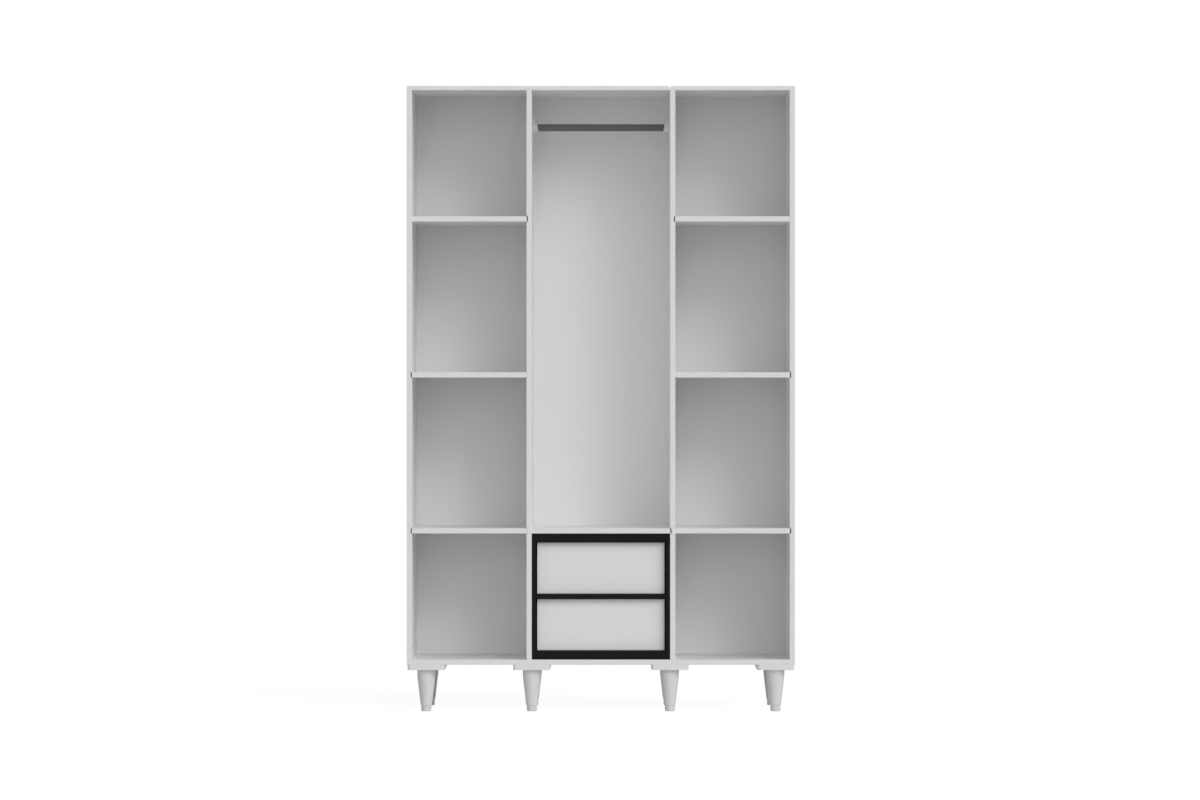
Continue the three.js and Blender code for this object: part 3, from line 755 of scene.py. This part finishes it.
# The outlines are drawn across and up, and stand out from the upright's face.
for side, sign in {"left": 1, "right": -1}.items():
    low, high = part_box(f"{side}_rail_socket")
    face = low.x if sign > 0 else high.x
    stand = Matrix(((0, 0, sign, face), (-sign, 0, 0, rail_axis.y), (0, 1, 0, rail_axis.z), (0, 0, 0, 1)))
    plate = to_mesh("plate", prism(plate_outline, 0, SOCKET_PLATE))
    cup = prism(cup_outline, SOCKET_PLATE / 2, SOCKET_DEPTH)
    for corner in cup.verts:
        if corner.co.z > SOCKET_PLATE:
            share = (corner.co.y + cup_outer) / (SOCKET_LIP + cup_outer)
            corner.co.z += share * (SOCKET_DEPTH_AT_LIP - SOCKET_DEPTH)
    boss = prism(lug_outline, SOCKET_PLATE / 2, LUG_DEPTH)
    to_lug = Matrix.Translation((0, lug_centre, 0))
    hole = moved(drill(SCREW_HOLE, -MM, LUG_DEPTH + MM, steps=32), to_lug)
    moulding = carve(carve(plate, [cup, boss], "UNION"), [hole])
    moulding.transform(stand)
    socket = piece(
        f"{side}_rail_cup", moulding, "carcass", "white_plastic", white_plastic, f"{side}_rail_socket"
    )
    ease_edges(socket, SOCKET_ROUNDING, segments=3, angle=40)
    on_lug = Matrix.Translation((0, lug_centre, LUG_DEPTH))
    screw = moved(slotted(countersunk_head, SCREW_SLOT, depth=1.4 * MM), stand @ on_lug)
    piece(f"{side}_socket_screw", to_mesh("socket_screw", screw), "carcass", "zinced_steel", zinc)


# Legs. Turned from beech and lacquered white: a short, almost straight collar, a straight taper, and a
# plastic glide pressed on underneath. A steel stud in the top screws into the foot board.
LACQUER_WHITE = (0.87, 0.87, 0.87)
LACQUER_SHADE = (0.83, 0.83, 0.83)
LACQUER_ROUGHNESS = 0.34
LACQUER_GLOSS = 0.15
LACQUER_ARRIS = 0.6 * MM
LACQUER_RELIEF = 0.06 * MM
WOOD_FIBRES_PER_METRE = (420.0, 420.0, 14.0)
TOOL_MARKS_PER_METRE = (12.0, 12.0, 700.0)
BRUSH_MARKS_PER_METRE = 45.0


def lacquer(name):
    """White lacquer over turned wood, whose grain runs up the leg and stands out a little under the paint."""
    material, tree = new_finish(name)
    place = tree.node("ShaderNodeTexCoord", None, None, "Object")
    wood = grain(tree, place, WOOD_FIBRES_PER_METRE, detail=5.0)
    tool_marks = grain(tree, place, TOOL_MARKS_PER_METRE)
    brush = grain(tree, place, BRUSH_MARKS_PER_METRE, detail=3.0)
    rounded, turned_away = worn_edge(tree, LACQUER_ARRIS)
    colour = tint(tree, 0.6 * wood + 0.4 * brush + turned_away, LACQUER_WHITE, LACQUER_SHADE)
    roughness = LACQUER_ROUGHNESS + 0.12 * wood + 0.06 * brush
    height = 0.55 * wood + 0.25 * tool_marks + 0.2 * brush
    inputs = {"Base Color": colour, "Roughness": roughness, "Specular IOR Level": LACQUER_GLOSS}
    close_finish(tree, inputs, height, LACQUER_RELIEF, rounded)
    return material


FEET = ["outer_left", "inner_left", "inner_right", "outer_right"]
LEG_COLLAR = 22 * MM
LEG_COLLAR_RADIUS = 25.25 * MM
LEG_FOOT_RADIUS = 16 * MM
LEG_ROUNDING = 0.8 * MM
BEND_SHARE = 0.2
BEND_STEPS = 8
STUD_RADIUS = 4 * MM
STUD_LENGTH = 12 * MM
GLIDE_WHITE = (0.8, 0.8, 0.8)
GLIDE_SHADE = (0.78, 0.78, 0.78)
GLIDE_HEIGHT = 17 * MM
GLIDE_RADIUS = 14.5 * MM
GLIDE_CORNER = 4 * MM
GLIDE_JOINT = 0.1 * MM
leg_low, leg_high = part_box("outer_left_front_leg")
leg_radius = (leg_high.x - leg_low.x) / 2
leg_top = leg_high.z - STUD_LENGTH
leg_bottom = GLIDE_HEIGHT + GLIDE_JOINT
collar = Vector((LEG_COLLAR_RADIUS, leg_top - LEG_COLLAR))
foot = Vector((LEG_FOOT_RADIUS, GLIDE_HEIGHT))
rim = Vector((leg_radius, leg_top))
# The collar runs into the taper over a short bend, on both sides of where the two lines meet.
bend_start, bend_end = collar.lerp(foot, BEND_SHARE), collar.lerp(rim, BEND_SHARE)
bend = []
for i in range(BEND_STEPS + 1):
    t = i / BEND_STEPS
    bend.append(bend_start.lerp(collar, t).lerp(collar.lerp(bend_end, t), t))
leg_profile = [
    (0, leg_bottom),
    (LEG_FOOT_RADIUS - LEG_ROUNDING, leg_bottom),
    (LEG_FOOT_RADIUS, leg_bottom + LEG_ROUNDING),
    *[tuple(point) for point in bend],
    (leg_radius, leg_top - LEG_ROUNDING),
    (leg_radius - LEG_ROUNDING, leg_top),
    (STUD_RADIUS, leg_top),
    (STUD_RADIUS, leg_high.z),
    (0, leg_high.z),
]
glide_profile = [
    (0, 0),
    *arc((GLIDE_RADIUS - GLIDE_CORNER, GLIDE_CORNER), GLIDE_CORNER, -90, 0, steps=8),
    (GLIDE_RADIUS, GLIDE_HEIGHT),
    (0, GLIDE_HEIGHT),
]
leg_lacquer = lacquer("leg_lacquer")
glide_plastic = moulded("glide_plastic", GLIDE_WHITE, GLIDE_SHADE)
for leg_place in FEET:
    for end in ("front", "rear"):
        node = f"{leg_place}_{end}_leg"
        low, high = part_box(node)
        axis = Matrix.Translation(((low.x + high.x) / 2, (low.y + high.y) / 2, 0))
        leg = moved(turned(leg_profile, steps=96), axis)
        piece(f"{node}_turned", to_mesh(node, leg), "carcass", "white_lacquer", leg_lacquer, node)
        glide = moved(turned(glide_profile, steps=64), axis)
        piece(f"{node}_glide", to_mesh(f"{node}_glide", glide), "carcass", "white_plastic", glide_plastic)


# Foot boards. White melamine boards with rounded corners, and a plastic band all the way round their edges.
# Four countersunk screws hold each one up to the bottom panel.
NO_HAIRLINE = -10.0
FOOT_BOARD_CORNER = 8 * MM
FOOT_BOARD_EASE = 0.6 * MM
FOOT_SCREW_ACROSS = 34 * MM
FOOT_SCREW_SHARES = (0.28, 0.43, 0.57, 0.72)
flat_head = [
    (0, -SCREW_SUNK),
    (SCREW_SHANK, -SCREW_SUNK),
    (SCREW_HEAD, 0),
    (SCREW_HEAD - 0.1 * MM, 0.2 * MM),
    (0, 0.2 * MM),
]
# The band's joint doesn't show on these, so their hairline is put far in front of them.
foot_white = melamine("foot_white", NO_HAIRLINE, BAND_WHITE, BAND_WHITE)
screw_places = []
for foot_place in FEET:
    name = f"{foot_place}_foot_board"
    low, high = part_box(name)
    left, right = low.x + FOOT_BOARD_CORNER, high.x - FOOT_BOARD_CORNER
    front, rear = low.y + FOOT_BOARD_CORNER, high.y - FOOT_BOARD_CORNER
    plan = [
        *arc((right, front), FOOT_BOARD_CORNER, -90, 0, steps=12),
        *arc((right, rear), FOOT_BOARD_CORNER, 0, 90, steps=12),
        *arc((left, rear), FOOT_BOARD_CORNER, 90, 180, steps=12),
        *arc((left, front), FOOT_BOARD_CORNER, 180, 270, steps=12),
    ]
    board_mesh = to_mesh(name, prism(plan, low.z, high.z))
    board = piece(f"{name}_banded", board_mesh, "carcass", "white_board", foot_white, name)
    ease_edges(board, FOOT_BOARD_EASE, segments=2, angle=60)
    middle = (low.x + high.x) / 2
    for i, share in enumerate(FOOT_SCREW_SHARES):
        across = middle + FOOT_SCREW_ACROSS * (1 if i % 2 else -1)
        screw_places.append(towards(2, -1, (across, low.y + share * (high.y - low.y), low.z)))
foot_screws = copies(slotted(flat_head, SCREW_SLOT, depth=1.2 * MM), screw_places)
piece("foot_board_screws", to_mesh("foot_board_screws", foot_screws), "carcass", "zinced_steel", zinc)


# Surround of the drawers. Black melamine boards, screwed together and slid in between the partitions. The
# rails under the drawers carry the black housings of the push latches.
BLACK = (0.006, 0.006, 0.006)
BLACK_SHADE = (0.009, 0.009, 0.009)
BLACK_BAND = (0.007, 0.007, 0.007)
BLACK_WORN = (0.03, 0.03, 0.03)
BLACK_GLOSS = 0.07
surround_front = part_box("surround_left_cheek")[0].y
surround_black = melamine(
    "surround_black", surround_front, BLACK, BLACK_SHADE, BLACK_BAND, BLACK_WORN, gloss=BLACK_GLOSS
)
for board in ("left_cheek", "right_cheek", "top_rail", "middle_rail", "bottom_rail"):
    wear(f"surround_{board}", surround_black)


# Drawers. The fronts are white melamine with a band on all four edges and no handle. The sides and backs
# are thinner boards, and the bottoms are hardboard, white inside and brown underneath.
drawer_white = melamine("drawer_white", NO_HAIRLINE)
bottom_brown = hardboard("bottom_hardboard", (0, 0, -1))
for drawer in ("upper", "lower"):
    low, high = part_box(f"{drawer}_drawer_front")
    edges = [
        (0, low.x + BAND_THICKNESS),
        (0, high.x - BAND_THICKNESS),
        (2, low.z + BAND_THICKNESS),
        (2, high.z - BAND_THICKNESS),
    ]
    wear(f"{drawer}_drawer_front", melamine(f"{drawer}_front_white", NO_HAIRLINE, joints=edges))
    for board in ("left_side", "right_side", "back"):
        wear(f"{drawer}_drawer_{board}", drawer_white)
    wear(f"{drawer}_drawer_bottom", bottom_brown)


# Runners. Two rails of rolled steel in a thin black coat, one screwed to the cheek and one to the drawer, run
# on two rows of bright balls, which a punched steel cage keeps apart.
COAT_BLACK = (0.02, 0.02, 0.02)
COAT_RUBBED = (0.06, 0.06, 0.06)
BLACK_COAT_ROUGHNESS = 0.38
ROLLING_LINES_PER_METRE = (2500.0, 40.0, 2500.0)
BLACK_CLOUDS_PER_METRE = 90.0


def electrocoat(name):
    """A thin, even black coat, satin, which has rubbed a little paler on the steel's edges."""
    material, tree = new_finish(name)
    place = tree.node("ShaderNodeTexCoord", None, None, "Object")
    lines = grain(tree, place, ROLLING_LINES_PER_METRE)
    clouds = grain(tree, place, BLACK_CLOUDS_PER_METRE, detail=4.0)
    rounded, turned_away = worn_edge(tree, STEEL_ARRIS)
    colour = tint(tree, turned_away + 0.3 * clouds * lines, COAT_BLACK, COAT_RUBBED)
    roughness = BLACK_COAT_ROUGHNESS + 0.12 * clouds + 0.06 * lines
    inputs = {"Base Color": colour, "Roughness": roughness, "Specular IOR Level": COAT_GLOSS}
    close_finish(tree, inputs, lines, STEEL_RELIEF, rounded)
    return material


# An outline's first axis runs from the cheek to the drawer, its second is up, and the sweep goes to the rear.
SWEPT_TO_REAR = Matrix(((1, 0, 0, 0), (0, 0, 1, 0), (0, 1, 0, 0), (0, 0, 0, 1)))


def rolled(line, thickness, low, high):
    """A strip bent along a line, which gives the distance from the cheek and the rise, and swept along Y."""
    points = [Vector(point) for point in line]
    normals = []
    for first, last in zip(points, points[1:]):
        run = (last - first).normalized()
        normals.append(Vector((-run.y, run.x)))
    sides = {1: [], -1: []}
    for i, point in enumerate(points):
        before, after = normals[max(i - 1, 0)], normals[min(i, len(normals) - 1)]
        mitre = (before + after).normalized()
        for side, offset in sides.items():
            offset.append(point + mitre * (side * thickness / 2 / mitre.dot(before)))
    outline = [tuple(point) for point in sides[1] + sides[-1][::-1]]
    shape = moved(prism(outline, low, high), SWEPT_TO_REAR)
    bmesh.ops.recalc_face_normals(shape, faces=shape.faces)
    return shape


RUNNER_STEEL = 1.2 * MM
RUNNER_WIDTH = 12.5 * MM
RUNNER_HEIGHT = 35 * MM
RUNNER_SCREW_MARGIN = 35 * MM
RUNNER_SCREW_SLOT = 3.6 * MM
DRILL_REACH = 3 * MM
BALL_RADIUS = 2.2 * MM
BALL_OFFSET = 5.5 * MM
BALL_PITCH = 19 * MM
BALL_PLAY = 0.3 * MM
POCKET_PLAY = 0.15 * MM
CAGE_STEEL = 0.8 * MM
CAGE_FOLD = 1.2 * MM
CAGE_FROM_RAIL = 0.8 * MM
# Where the curl of each rail around the balls ends and where it leaves for the web, in degrees.
CHEEK_CURL = (20, 135)
DRAWER_CURL = (-120, -45)
raceway = BALL_RADIUS + BALL_PLAY + RUNNER_STEEL / 2
ball_rise = RUNNER_HEIGHT / 2 - RUNNER_STEEL / 2 - raceway
cage_web = RUNNER_STEEL + CAGE_FROM_RAIL + CAGE_STEEL / 2
cage_lip = BALL_OFFSET + BALL_RADIUS + CAGE_STEEL / 2


def both_rows(upper):
    return upper + [(across, -rise) for across, rise in upper[::-1]]


def rail_line(web, edge, end):
    curl = arc((BALL_OFFSET, ball_rise), raceway, edge, end, steps=18)
    return both_rows([*curl, (web, curl[-1][1])])


cage_bend = arc((cage_web + CAGE_FOLD, ball_rise - CAGE_FOLD), CAGE_FOLD, 90, 180, steps=6)
cage_line = both_rows([(cage_lip, ball_rise), *cage_bend])
pan_head = [
    (0, -1.0 * MM),
    (SCREW_SHANK, -1.0 * MM),
    (SCREW_HEAD - 0.3 * MM, 0.05 * MM),
    (SCREW_HEAD - 0.5 * MM, 0.3 * MM),
    (0, 0.35 * MM),
]
runner_black = electrocoat("runner_black")
ball_steel = zinc_plate("ball_steel")
for drawer in ("upper", "lower"):
    for side, sign in {"left": 1, "right": -1}.items():
        name = f"{drawer}_{side}"
        low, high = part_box(f"{name}_cheek_rail")
        cheek_face = low.x if sign > 0 else high.x
        centre = (low + high) / 2
        half_length = (high.y - low.y) / 2
        mirror = Matrix.Diagonal((sign, 1, 1, 1))
        stand = Matrix.Translation((cheek_face, centre.y, centre.z)) @ mirror
        screw_depths = (-half_length + RUNNER_SCREW_MARGIN, 0, half_length - RUNNER_SCREW_MARGIN)
        rails = {
            "cheek_rail": ("carcass", 1, RUNNER_STEEL / 2, CHEEK_CURL),
            "drawer_rail": (f"{drawer}_drawer", -1, RUNNER_WIDTH - RUNNER_STEEL / 2, DRAWER_CURL),
        }
        for part, (body, direction, web, curl) in rails.items():
            hole = drill(SCREW_HOLE, -DRILL_REACH, DRILL_REACH, steps=24)
            holes = copies(hole, [towards(0, 1, (web, depth, 0)) for depth in screw_depths])
            strip = rolled(rail_line(web, *curl), RUNNER_STEEL, -half_length, half_length)
            drilled = carve(to_mesh(part, strip), [holes])
            drilled.transform(stand)
            if sign < 0:
                drilled.flip_normals()
            piece(f"{name}_{part}_rolled", drilled, body, "black_steel", runner_black, f"{name}_{part}")
            inner_face = web + direction * RUNNER_STEEL / 2
            head_places = [towards(0, direction, (inner_face, depth, 0)) for depth in screw_depths]
            head = slotted(pan_head, RUNNER_SCREW_SLOT, depth=0.8 * MM)
            heads = moved(copies(head, head_places), stand)
            bmesh.ops.recalc_face_normals(heads, faces=heads.faces)
            piece(f"{name}_{part}_screws", to_mesh("screws", heads), body, "zinced_steel", ball_steel)
        cage_low, cage_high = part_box(f"{name}_ball_cage")
        half_cage = (cage_high.y - cage_low.y) / 2
        cage_middle = (cage_low.y + cage_high.y) / 2
        cage_stand = Matrix.Translation((cheek_face, cage_middle, centre.z)) @ mirror
        count = int((2 * half_cage - BALL_PITCH) // BALL_PITCH) + 1
        depths = [(i - (count - 1) / 2) * BALL_PITCH for i in range(count)]
        ball_places = [
            Matrix.Translation((BALL_OFFSET, depth, rise))
            for depth in depths
            for rise in (-ball_rise, ball_rise)
        ]
        cage = to_mesh("cage", rolled(cage_line, CAGE_STEEL, -half_cage, half_cage))
        pocket = turned(arc((0, 0), BALL_RADIUS + POCKET_PLAY, -90, 90, steps=10), steps=20)
        punched = carve(cage, [copies(pocket, ball_places)])
        punched.transform(cage_stand)
        if sign < 0:
            punched.flip_normals()
        piece(f"{name}_cage_strip", punched, f"{name}_cage", "black_steel", runner_black, f"{name}_ball_cage")
        ball = turned(arc((0, 0), BALL_RADIUS, -90, 90, steps=16), steps=32)
        balls = moved(copies(ball, ball_places), cage_stand)
        bmesh.ops.recalc_face_normals(balls, faces=balls.faces)
        piece(f"{name}_balls", to_mesh("balls", balls), f"{name}_cage", "zinced_steel", ball_steel)


# Latch plungers. A grey plastic rod with a soft round head. It pushes the drawer out when the front is
# pressed and let go.
PLUNGER_GREY = (0.2, 0.2, 0.2)
PLUNGER_SHADE = (0.16, 0.16, 0.16)
PLUNGER_ROUGHNESS = 0.55
PLUNGER_RADIUS = 4 * MM
PLUNGER_HEAD = 4 * MM
PLUNGER_DOME = 1.5 * MM
PLUNGER_ROUNDING = 0.4 * MM
grey_plastic = moulded("grey_plastic", PLUNGER_GREY, PLUNGER_SHADE, PLUNGER_ROUGHNESS)
for drawer in ("upper", "lower"):
    low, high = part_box(f"{drawer}_latch_plunger")
    head_radius, length = (high.x - low.x) / 2, high.y - low.y
    profile = [
        (0, 0),
        *arc((head_radius - PLUNGER_DOME, PLUNGER_DOME), PLUNGER_DOME, -90, 0, steps=6),
        (head_radius, PLUNGER_HEAD - PLUNGER_ROUNDING),
        (head_radius - PLUNGER_ROUNDING, PLUNGER_HEAD),
        (PLUNGER_RADIUS, PLUNGER_HEAD),
        (PLUNGER_RADIUS, length),
        (0, length),
    ]
    place = towards(1, 1, ((low.x + high.x) / 2, low.y, (low.z + high.z) / 2))
    plunger = moved(turned(profile, steps=48), place)
    piece(
        f"{drawer}_plunger_rod",
        to_mesh("plunger", plunger),
        f"{drawer}_plunger",
        "grey_plastic",
        grey_plastic,
        f"{drawer}_latch_plunger",
    )
